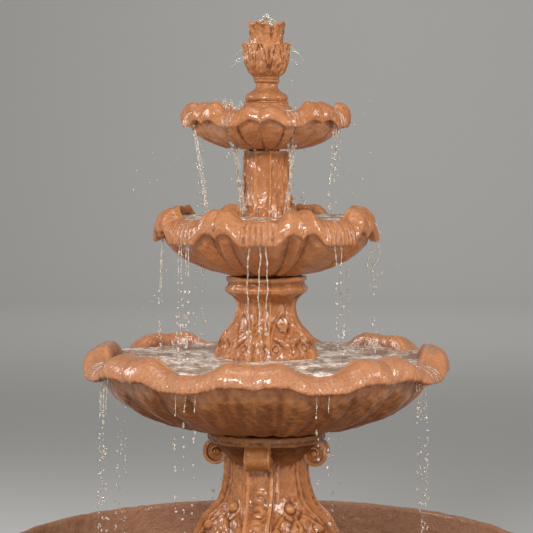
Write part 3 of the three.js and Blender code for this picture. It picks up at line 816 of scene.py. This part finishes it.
top_top, top_foot = top_of("top_pedestal"), bottom_of("top_pedestal")
top_grid = pedestal_grid(
    [
        [[0.082, top_foot], [0.0815, 1.21], [0.080, 1.24], [0.0775, 1.272], [0.0745, 1.296],
         [0.070, 1.314], [0.064, 1.334], [0.0580, 1.356], [0.0562, 1.385], [0.0555, 1.412],
         [0.0545, 1.436], [0.0535, top_top]],
    ],
    half=lambda z: 0.021 + 0 * z,
    inset=lambda z: 0.0008 + 0.0042 * between(z, 1.24, 1.31, 1.440, 1.455),
    bow=lambda z: 0.002 + 0.004 * smooth(1.33, 1.28, z),
    hollow=[[0.03, top_top], [0.03, 1.3], [0.036, 1.24], [0.036, top_foot]],
    relief=top_relief,
    spacing=0.0018,
)

# Each console of the lowest pedestal curls over at its head in a roll with a spiral on each side.
ROLL_REACH = 0.1295
ROLL_HEIGHT = 0.6735
ROLL_HALF = 0.0325


def scroll_band(turn):
    """The band of a console's scroll, from the block above it, out, down and round into the roll."""
    share = np.linspace(0, 1, 150)
    angle = np.radians(blend(128, -395, share))
    marks = (-128, -60, 0, 90, 180, 270, 395)
    radii = (0.0400, 0.0365, 0.0350, 0.0335, 0.0265, 0.0190, 0.0130)
    outer = np.interp(-np.degrees(angle), marks, radii)
    thick = blend(0.0110, 0.0055, share)
    across = np.array([-1, -0.84, -0.79, 0.79, 0.84, 1, 1, 0.84, -0.84, -1]) * ROLL_HALF
    dip = np.array([0.0010, 0, 0.0022, 0.0022, 0, 0.0010, 0, 0, 0, 0])
    inner = np.array([0, 0, 0, 0, 0, 0, 1, 1, 1, 1])
    rho = outer[:, None] - dip - inner * thick[:, None]
    y = ROLL_REACH + rho * np.cos(angle)[:, None]
    z = ROLL_HEIGHT + rho * np.sin(angle)[:, None]
    return at_console(turn, across + 0 * y, y, z)


def scroll_core(turn):
    """The roll that the band winds round, with an eye at each end."""
    angle = turns(72)[:, None]
    line = np.array(
        [[0.0335, 0.0004], [0.0333, 0.003], [0.0322, 0.006], [0.0300, 0.0083], [0.0270, 0.0092],
         [0.0215, 0.0094], [0.0200, 0.0110], [0.0195, 0.0170], [0.0200, 0.0225], [0.0190, 0.0245]]
    )
    line = np.vstack([line, (line * [-1, 1])[::-1]])
    y = ROLL_REACH + line[:, 1] * np.cos(angle)
    z = ROLL_HEIGHT + line[:, 1] * np.sin(angle)
    return at_console(turn, line[:, 0] + 0 * y, y, z)


# ---- pool, collar and finial


def pool_grid():
    floor, height, reach = 0.110, top_of("pool"), reach_of("pool")
    hole = 0.0006
    line, _ = outline(
        [
            [[hole, 0.040]],
            [[0.480, 0.040]],
            [[0.500, 0.0]],
            [[0.600, 0.0]],
            [[0.6025, 0.010], [0.6025, 0.034]],
            [[0.596, 0.044], [0.586, 0.056], [0.586, 0.068], [0.598, 0.078]],
            [[0.606, 0.080], [0.612, 0.090], [0.606, 0.102]],
            [[0.606, 0.106], [0.632, 0.150], [0.655, 0.192], [0.673, 0.236], [0.684, 0.280],
             [0.689, 0.322]],
            [[0.689, 0.334], [0.682, 0.346], [0.682, 0.354], [0.692, 0.360]],
            [[0.700, 0.362], [0.711, 0.372], [reach, 0.389], [0.713, 0.405], [0.704, 0.416],
             [0.693, height], [0.686, 0.413], [0.6835, 0.400], [0.681, 0.375], [0.678, 0.330],
             [0.670, 0.262], [0.655, 0.205], [0.634, 0.158], [0.606, 0.126], [0.570, floor]],
            [[hole, floor]],
        ],
        per_span=8,
    )
    return swept(line, turns(360))


def collar_grid():
    foot, top = bottom_of("finial_base"), top_of("finial_base")
    line, _ = outline(
        [
            [[0.032, foot]],
            [[0.078, foot], [0.0775, 1.525], [0.0765, 1.542], [0.0735, 1.556], [0.0665, 1.5675],
             [0.0605, 1.574]],
            [[0.0575, 1.5765], [0.0560, 1.581], [0.0545, top]],
            [[0.020, top]],
            [[0.020, 1.560]],
            [[0.032, 1.540]],
        ],
        per_span=10,
    )
    grid = swept(line, turns(256))
    away = ring_distance(np.arctan2(grid[..., 0], -grid[..., 1]), 0)
    flutes = 0.0012 * abs(np.sin(8 * away)) * between(grid[..., 2], 1.530, 1.545, 1.565, 1.575)
    return raised(grid, -flutes)


PETALS = 4
PETAL_TURN = math.radians(-24)
LEAF_TURN = math.radians(33)


def finial_grid():
    azimuths = turns(384)
    foot, tip = bottom_of("finial"), top_of("finial")
    period = TAU / PETALS
    off = abs((azimuths - PETAL_TURN + period / 2) % period - period / 2) / (period / 2)
    gap = smooth(0.62, 1.0, off) ** 1.3
    curled = 0.004 * np.cos(off * math.pi * 2.5) * (1 - off)
    tips = tip - 0.004 - 0.026 * gap + curled
    leaf_off = abs((azimuths - LEAF_TURN + period / 4) % (period / 2) - period / 4) / (period / 4)

    seam = 0.0040 * hill(1 - leaf_off, 0.16)
    curl = 0.0068 * hill(leaf_off, 0.30)
    petal_seam = 0.0038 * hill(1 - off, 0.10)
    flare = 0.0070 * (1 - off**2)
    stretches = [
        [(0.012, foot)],
        [(0.0520, foot), (0.0535, 1.590), (0.0545, 1.5945), (0.0530, 1.6010), (0.048, 1.6065)],
        [(0.0435, 1.6085), (0.036, 1.614), (0.0305, 1.620), (0.0272, 1.628), (0.0285, 1.6345)],
        [(0.0318, 1.6360), (0.0330, 1.6385), (0.0318, 1.6410), (0.0310, 1.6425)],
        [(0.0330, 1.6440), (0.0338, 1.6465), (0.0320, 1.6490)],
        [
            (0.0345 - seam * 0.4, 1.6510), (0.0440 - seam * 0.6, 1.6585),
            (0.0520 - seam, 1.6705), (0.0570 - seam, 1.6850),
            (0.0598 - seam, 1.7010), (0.0603 - seam * 0.9, 1.7160),
            (0.0598 - seam * 0.8 + curl * 0.4, 1.7270),
            (0.0588 - seam * 0.6 + curl, 1.7340 - 0.003 * leaf_off),
            (0.0560 - seam * 0.4 + curl, 1.7390 - 0.007 * leaf_off),
        ],
        [(0.0520, 1.7335), (0.0455, 1.7330)],
        [
            (0.0440 - petal_seam * 0.3, 1.7370), (0.0435 - petal_seam, 1.7460),
            (0.0432 - petal_seam, 1.7560), (0.0438 - petal_seam * 0.6 + flare * 0.1, 1.7640),
            (0.0445 + flare * 0.5 - petal_seam * 0.3, blend(1.764, tips, 0.62)),
            (0.0450 + flare, tips - 0.004), (0.0435 + flare, tips),
            (0.0400 + flare * 0.8, tips - 0.002),
            (0.0370 + flare * 0.4, blend(1.752, tips, 0.55)),
            (0.0345, 1.750), (0.0320, 1.738),
        ],
        [(0.0300, 1.724)],
        [(0.012, 1.716)],
    ]
    lines = []
    for stretch in stretches:
        points = [np.stack(np.broadcast_arrays(r, z, azimuths)[:2], -1) for r, z in stretch]
        lines.append(np.stack(points, 1))
    line, _ = outline(lines, per_span=7)
    grid = swept(line, azimuths)
    z = grid[..., 2]
    side = (azimuths - LEAF_TURN + period / 4) % (period / 2) / (period / 2) * 2 - 1
    aside = abs(side)[:, None]
    height = ((z - 1.652) / 0.084).clip(0, 1)
    folds = 0.0020 * hill(side, 0.16)[:, None] * (1 - height)
    folds -= 0.0026 * hill(abs(aside - (1 - height) ** 0.6 * 0.9), 0.09)
    folds += 0.0003 * np.cos(TAU * (height * 3.0 - aside * 1.2))
    folds += 0.0008 * wobble(grid, 0.020, 27) + 0.0005 * wobble(grid, 0.011, 28)
    flutes = 0.0014 * np.cos(off * math.pi * 3)[:, None] * (np.hypot(grid[..., 0], grid[..., 1]) > 0.038)
    bud, cup = between(z, 1.652, 1.664, 1.728, 1.738), between(z, 1.742, 1.752, 1.775, 1.79)
    return raised(grid, bud * folds + cup * flutes)


# ---- building the stone

pool_piece = stone_piece("pool_basin", [pool_grid()], "pool_stone", "pool", hollow_shading=0.15)
bowl_surfaces = {}
# Per bowl: how much painted shade its undersides get, and how much painted light its upward faces get.
for node, title, shade_and_stain, top_light in (
    ("bottom_bowl", "bottom_shell", 0.80, 0.28),
    ("middle_bowl", "middle_shell", 0.20, 0.05),
    ("top_bowl", "top_shell", 0.05, 0.0),
):
    grid, owner = bowl_grid(node)
    bowl_surfaces[node] = grid[:, owner == 4]
    stone_piece(title, [grid], "bowl_stone", node, shade_and_stain=shade_and_stain, top_light=top_light, hollow_shading=1.3)


def shadow_under_bowl(z):
    """Painted shadow on the head of the lowest pedestal, where its bowl shades it."""
    return 0.95 * smooth(0.640, 0.685, z)


lower_piece = stone_piece(
    "lower_column", [lower_grid], "pedestal_stone", "lower_pedestal", shade=shadow_under_bowl
)
stone_piece("middle_column", [middle_grid], "pedestal_stone", "middle_pedestal")
stone_piece("top_column", [top_grid], "pedestal_stone", "top_pedestal")
stone_piece("collar", [collar_grid()], "finial_stone", "finial_base")
stone_piece("bud_and_cup", [finial_grid()], "finial_stone", "finial", hollow_shading=1.6)
for k, turn in enumerate(CONSOLE_TURNS):
    grids = [scroll_band(turn), scroll_core(turn)]
    stone_piece(f"scroll_{k + 1}", grids, "pedestal_stone", open_ends=(0,))


def disc(radius, z, y, count=48):
    return [[radius * math.sin(a), y - radius * math.cos(a), z] for a in turns(count)]


DRAIN_RADIUS, DRAIN_PLACE = 0.022, 0.430
DOOR_HALF, DOOR_FOOT, DOOR_SPRING = 0.055, 0.05, 0.180
drain_rings = [disc(DRAIN_RADIUS, z, DRAIN_PLACE) for z in (0.2, -0.02)]
carve(pool_piece, solid_of("drain", drain_rings))


def doorway_ring(outward):
    """The outline of the arch through the back of the lowest pedestal."""
    angle = np.linspace(0, math.pi, 25)
    across = DOOR_HALF * np.concatenate([[1], np.cos(angle), [-1]])
    up = np.concatenate([[DOOR_FOOT], DOOR_SPRING + DOOR_HALF * np.sin(angle), [DOOR_FOOT]])
    return at_console(CONSOLE_TURNS[2], across, outward + 0 * up, up)


carve(lower_piece, solid_of("arch", [doorway_ring(0.35), doorway_ring(0.1)]))


# ---- water

POOL_LEVEL = 0.300
POOL_WATER_REACH = 0.677
SHEET_THICK = 0.004
SHEET_COLUMNS = 480
SHEET_RINGS = 90
STRAND_COLUMNS = 8
# Half the thickness of a falling thread where it starts.
THREAD_HALF = 0.0020


def water_piece(name, grids, material, froth=None):
    """One piece of water from several grids with open ends, or from one that closes on itself."""
    open_ends, values = (range(len(grids)), ()) if froth is None else ((), {"froth": froth})
    return piece(name, grids, open_ends, material, 180, values)


def still_sheet(name, inner, outer, level, froth):
    """A pool of water as a thin slab from the radius inner to outer."""
    azimuths = turns(SHEET_COLUMNS)
    outer = outer + 0 * azimuths
    share = np.linspace(0, 1, SHEET_RINGS)[None] ** 0.9
    r = inner + (outer[:, None] - inner) * share
    x, y = r * np.sin(azimuths)[:, None], -r * np.cos(azimuths)[:, None]
    flat = np.stack([x, y, 0 * x], -1)
    ripple = 0.0014 * wobble(flat, 0.05, 11) + 0.0009 * wobble(flat, 0.02, 12)
    z = level + ripple * smooth(1, 0.93, share) - 0.0012 * smooth(0.9, 1, share)
    upper, lower = np.stack([x, y, z], -1), np.stack([x, y, z - SHEET_THICK], -1)
    grid = np.concatenate([lower, upper[:, ::-1]], 1)
    value = froth(r, flat)
    water_piece(name, [grid], STILL_WATER, np.concatenate([value, value[:, ::-1]], 1))


for node, inner in (("bottom_bowl", 0.105), ("middle_bowl", 0.055), ("top_bowl", 0.050)):
    rim = Rim(node, turns(SHEET_COLUMNS))
    outer = rim.reach - rim.bowl["roll"] * blend(1.0, 0.55, smooth(14, 21, rim.u))

    def froth(r, flat, inner=inner, reach=rim.reach):
        near = np.exp(-((r - inner) / (0.20 * reach)))
        return near + 0.74 + 0.45 * wobble(flat, 0.30 * reach, 13)

    still_sheet(f"{node}_water", inner, outer, rim.level, froth)


def pool_froth(r, flat):
    """Froth where the lowest bowl spills into the pool."""
    return 0.45 * hill(r - 0.42, 0.09) + 0.08 + 0.12 * wobble(flat, 0.25, 14)


still_sheet("pool_water", 0.14, POOL_WATER_REACH, POOL_LEVEL, pool_froth)

# All that falls is drawn from one seeded generator, so the order of the draws matters.
random = np.random.default_rng(7)
pick = random.uniform
UP = np.array([0.0, 0.0, 1.0])


def strand(points, radii):
    """The grid of a tube of water through points."""
    points, radii = np.asarray(points, float), np.asarray(radii, float)
    along = np.gradient(points, axis=0)
    along /= np.maximum(np.linalg.norm(along, axis=1, keepdims=True), 1e-9)
    side = np.cross(along, (0.28, 0.93, 0.23))
    side /= np.linalg.norm(side, axis=1, keepdims=True)
    angle = turns(STRAND_COLUMNS)[None, :, None]
    ring = side[:, None] * np.cos(angle) + np.cross(side, along)[:, None] * np.sin(angle)
    return points[:, None] + ring * radii[:, None, None]


def drop(centre, radius, stretch=1.25):
    """The grid of a drop of water."""
    angle = np.linspace(0.12, math.pi - 0.12, 7)
    down = np.outer(np.cos(angle) * radius * stretch, UP)
    return strand(np.asarray(centre) + down, np.sin(angle) * radius)


def outward(azimuth):
    return np.array([math.sin(azimuth), -math.cos(azimuth), 0.0])


def rivulet(surface, azimuth, width):
    """Water that runs from a bowl over its rim and down to the rim's lower edge: the grid of its
    strand, and its last point."""
    count = len(surface)
    reach = np.linalg.norm(surface[..., :2], axis=-1).max()
    here = surface[int(round(azimuth / TAU * count)) % count]
    rows = np.nonzero(np.linalg.norm(here[:, :2], axis=1) > reach * 0.86)[0][::-1]
    drift = 0.010 * np.sin(np.linspace(0, pick(1, 4), len(rows)) + pick(0, TAU))
    columns = (azimuth + drift - drift[-1]) / TAU * count
    low = np.floor(columns).astype(int)
    share = (columns - low)[:, None]
    points = blend(surface[low % count, rows], surface[(low + 1) % count, rows], share)
    widths = width * (0.85 + 0.3 * np.sin(np.linspace(0, pick(4, 9), len(rows))))
    widths[[0, -1]] *= 0.3
    return strand(points, widths), points[-1]


def falling(start, azimuth, height, unbroken, drops, pull):
    """The grids of one thread of water that falls from start through height: a strand for its
    unbroken share, then drops. pull is how far it swings towards the axis on its way."""
    out, across = outward(azimuth), outward(azimuth + math.pi / 2)
    phase = pick(0, TAU, 3)

    def place(share):
        swing = 0.012 * np.sqrt(share) - pull * share**0.6
        sway = 0.0022 * np.sin(9 * share + phase[0]) + 0.0012 * np.sin(31 * share + phase[1])
        return start + np.outer(swing, out) + np.outer(sway, across) - np.outer(share * height, UP)

    share = np.linspace(0, unbroken, 36)
    fade = 1 - 0.5 * share / unbroken
    radii = THREAD_HALF * fade * (1 + 0.45 * np.sin(share * height * 300 + phase[2]))
    radii[[0, -1]] *= 0.25
    grids = [strand(place(share), radii)]
    for mark in np.sort(pick(unbroken * 0.9, 0.985, drops)):
        spread = 0.004 * mark
        centre = place(np.array([mark]))[0]
        centre = centre + across * random.normal(0, spread) + out * random.normal(0, spread)
        grids.append(drop(centre, pick(0.0014, 0.0035), pick(1.05, 1.8)))
    return grids


def spill(node, degrees, below, threads, spread, unbroken, drops, pull=0.0):
    """All the threads that leave a bowl round one azimuth and fall to the height below."""
    grids = []
    for offset in np.linspace(-spread, spread, threads):
        azimuth = math.radians(degrees + offset + pick(-0.7, 0.7))
        over, last = rivulet(bowl_surfaces[node], azimuth, pick(0.0006, 0.0012))
        grids += [over, *falling(last, azimuth, last[2] - below, unbroken, drops, pull)]
    return grids


def clinging(node, degrees, foot_radius, foot):
    """A rope of water that clings to the underside of a bowl and runs down beside its pedestal."""
    azimuth = math.radians(degrees + pick(-4, 4))
    over, last = rivulet(bowl_surfaces[node], azimuth, pick(0.0006, 0.0011))
    reach, edge = np.linalg.norm(last[:2]), last[2]
    seat = bottom_of(node) + HUB_DROP
    line = [[reach, edge], [reach * 0.86, blend(edge, seat, 0.40)]]
    line += [[reach * 0.66, blend(edge, seat, 0.85)]]
    for t in (0.12, 0.4, 0.7, 1.0):
        line += [[blend(reach * 0.56, foot_radius, t), blend(seat, foot, t**1.2)]]
    line = spline_weights(len(line), 12) @ np.array(line)
    wave = np.linspace(0, 1, len(line))
    turned = azimuth + math.copysign(0.36, degrees) * smooth(0, 0.7, wave)
    turned += 0.07 * np.sin(wave * pick(5, 12) + pick(0, TAU)) * wave
    points = np.stack([line[:, 0] * np.sin(turned), -line[:, 0] * np.cos(turned), line[:, 1]], -1)
    points += 0.0012 * np.stack([wobble(points, 0.03, random.integers(999)) for _ in range(3)], -1)
    widths = pick(0.0010, 0.0024) * (1 + 0.4 * np.sin(wave * pick(30, 70)))
    widths[[0, -1]] *= 0.3
    grids = [strand(points, widths)]
    if pick() < 0.5:
        grids.append(over)
    for _ in range(9):
        centre = points[random.integers(20, len(points))] + random.normal(0, 0.007, 3)
        grids.append(drop(centre, pick(0.0010, 0.0026)))
    return grids


def belly_film():
    """The edge of a film that bellies out under the middle bowl's right end, and its drops."""
    line = np.array(
        [[0.292, 1.213], [0.284, 1.204], [0.272, 1.192], [0.264, 1.176], [0.262, 1.162], [0.268, 1.154],
         [0.277, 1.158], [0.285, 1.168], [0.292, 1.182], [0.296, 1.198], [0.2955, 1.211]]
    )
    line = spline_weights(len(line), 10) @ line
    loop = np.stack([line[:, 0], 0 * line[:, 0], line[:, 1]], -1)
    loop[:, 1] = 0.006 * wobble(loop, 0.06, 41)
    grids = [strand(loop, 0.0017 * (1 + 0.35 * np.sin(np.arange(len(loop)) * 0.5)))]
    for _ in range(7):
        centre = random.normal(0.279, 0.010), random.normal(0, 0.006), pick(1.10, 1.15)
        grids.append(drop(centre, 0.0022))
    return grids


LEVELS = {node: Rim(node, turns(8)).level for node in BOWLS}
# Each bowl, the height that its water falls to, the drops below each thread, and its spills. A spill
# has its azimuth in degrees, its threads, how far they spread, their unbroken share and, on the top
# bowl, their pull.
FALLS = (
    ("bottom_bowl", POOL_LEVEL + 0.002, 20, (
        (-67.5, 5, 4.5, 0.16), (-22.5, 3, 3.2, 0.10), (22.5, 2, 1.6, 0.10), (67.5, 4, 4.0, 0.05),
        (112.5, 3, 3.0, 0.20), (-112.5, 3, 3.0, 0.20), (157.5, 2, 2.0, 0.15), (-157.5, 2, 2.0, 0.15),
    )),
    ("middle_bowl", LEVELS["bottom_bowl"], 13, (
        (-90, 2, 3.0, 0.45), (-45, 4, 4.5, 0.30), (0, 3, 4.6, 0.75), (45, 2, 1.5, 0.20),
        (90, 2, 3.0, 0.15), (135, 2, 3.0, 0.30), (180, 2, 3.0, 0.30), (-135, 2, 3.0, 0.30),
    )),
    ("top_bowl", LEVELS["middle_bowl"], 9, (
        (-67.5, 3, 4.0, 0.75, 0.055), (67.5, 3, 4.0, 0.15, 0.040), (112.5, 2, 4.0, 0.3, 0.03),
        (-112.5, 2, 4.0, 0.3, 0.03), (157.5, 2, 4.0, 0.3, 0.03),
    )),
)
for node, below, drops, spills in FALLS:
    falls = []
    for degrees, threads, spread, unbroken, *pull in spills:
        falls += spill(node, degrees, below, threads, spread, unbroken, drops, *pull)
    if node == "middle_bowl":
        falls += belly_film()
    if node == "top_bowl":
        for degrees in 7 * [-22.5] + 4 * [22.5]:
            falls += clinging(node, degrees, 0.075, below)
    water_piece(node.replace("bowl", "falls"), falls, FALLING_WATER)


def jet(start, azimuth, rise, reach):
    """A short arc of water with a drop at its end."""
    t = np.linspace(0, 1, 14)
    across = outward(azimuth + math.pi / 2) * random.normal(0, 0.006)
    lift = rise * 4 * t * (1 - t) - 0.5 * reach * t**2
    points = start + np.outer(t * reach, outward(azimuth)) + np.outer(t, across) + np.outer(lift, UP)
    return [strand(points, 0.0009 * (1.1 - 0.6 * t)), drop(points[-1], pick(0.0012, 0.002))]


def bubbling(radius, low, high, count):
    """Lumps of water that well up inside a ring."""
    grids = []
    for _ in range(count):
        r, azimuth = radius * math.sqrt(pick(0, 1)), pick(0, TAU)
        height = blend(high, low, (r / radius) ** 1.5) - pick(0, 0.010)
        grids.append(drop(outward(azimuth) * r + (0, 0, height), pick(0.0028, 0.0062), pick(0.8, 1.3)))
    return grids


cup_top = top_of("finial")
spray = bubbling(0.027, cup_top - 0.008, cup_top + 0.019, 42)
# The azimuth and the height at which each jet leaves the finial's cup.
JETS = (
    (-80, 1.703), (-70, 1.716), (-95, 1.695), (88, 1.712), (80, 1.724), (95, 1.700), (72, 1.694),
    (170, 1.71),
)
for degrees, height in JETS:
    azimuth = math.radians(degrees)
    start = outward(azimuth) * 0.056 + (0, 0, height)
    spray += jet(start, azimuth, pick(-0.004, 0.008), pick(0.022, 0.040))
for _ in range(26):
    azimuth = pick(0, TAU)
    centre = outward(azimuth) * pick(0.062, 0.085) + (0, 0, pick(1.62, 1.76))
    spray.append(drop(centre, pick(0.0007, 0.0014)))
water_piece("finial_spray", spray, FALLING_WATER)

# Splashes where the finial's water lands, by azimuth, radius and number of drops, and then fine
# drops that drift round the upper bowls.
SPLASHES = ((-66, 0.105, 26), (-45, 0.120, 12), (52, 0.125, 10), (170, 0.11, 12))
splashes = []
for degrees, radius, count in SPLASHES:
    for _ in range(count):
        azimuth = math.radians(degrees + random.normal(0, 13))
        start = outward(azimuth) * (radius + random.normal(0, 0.012)) + (0, 0, LEVELS["top_bowl"])
        height = abs(random.normal(0, 0.018))
        size = pick(0.0012, 0.0042) * math.exp(-height / 0.03)
        splashes.append(drop(start + (0, 0, height), size, 0.9))
        if pick() < 0.35:
            splashes += jet(start, azimuth + random.normal(0, 1), pick(0.012, 0.034), 0.02)
for _ in range(90):
    azimuth = random.choice([-1, 1]) * math.radians(pick(55, 125))
    level = pick(LEVELS["bottom_bowl"] + 0.06, LEVELS["top_bowl"] + 0.03)
    place = outward(azimuth) * pick(0.23, 0.36) + (0, 0, level)
    splashes.append(drop(place, pick(0.0006, 0.0015)))
water_piece("spatter", splashes, FALLING_WATER)


# ---- the fittings that stay as CAD

NODE_FINISHES = {
    "shim": "shim_plastic",
    "stopper": "stopper_rubber",
    "riser_tube": "tube_vinyl",
    "spray_nozzle": "nozzle_brass",
    "hose_clamp": "clamp_steel",
    "pump_impeller": "rotor_plastic",
    "pump_flow_dial": "rotor_plastic",
    "pump_shaft_bush": "pump_foot_rubber",
    "pump_shaft": "shaft_ceramic",
    "pump_foot": "pump_foot_rubber",
    "pump_": "pump_plastic",
}
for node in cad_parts:
    finish = next((finish for key, finish in NODE_FINISHES.items() if key in node), None)
    if finish:
        for slot in bpy.data.objects[node].material_slots:
            slot.material = FINISHES[finish]


# ---- stage

floor_look = Shader("stage_floor")
floor_look.set(Base_Color=(0.66, 0.65, 0.63, 1), Roughness=0.9)


def stage_sheet():
    """A floor that curves up into a backdrop behind the fountain."""
    curve = [(13 + 4 * math.sin(a), 4 - 4 * math.cos(a)) for a in np.linspace(0, math.pi / 2, 24)]
    section = [(-40, 0), *curve, (17, 16)]
    vertices = [(x, y, z) for y, z in section for x in (-40, 40)]
    faces = [(k, k + 1, k + 3, k + 2) for k in range(0, 2 * len(section) - 2, 2)]
    mesh = mesh_of("stage", vertices, faces)
    mesh.shade_smooth()
    mesh.materials.append(floor_look.material)
    placed("stage", mesh)


stage_sheet()
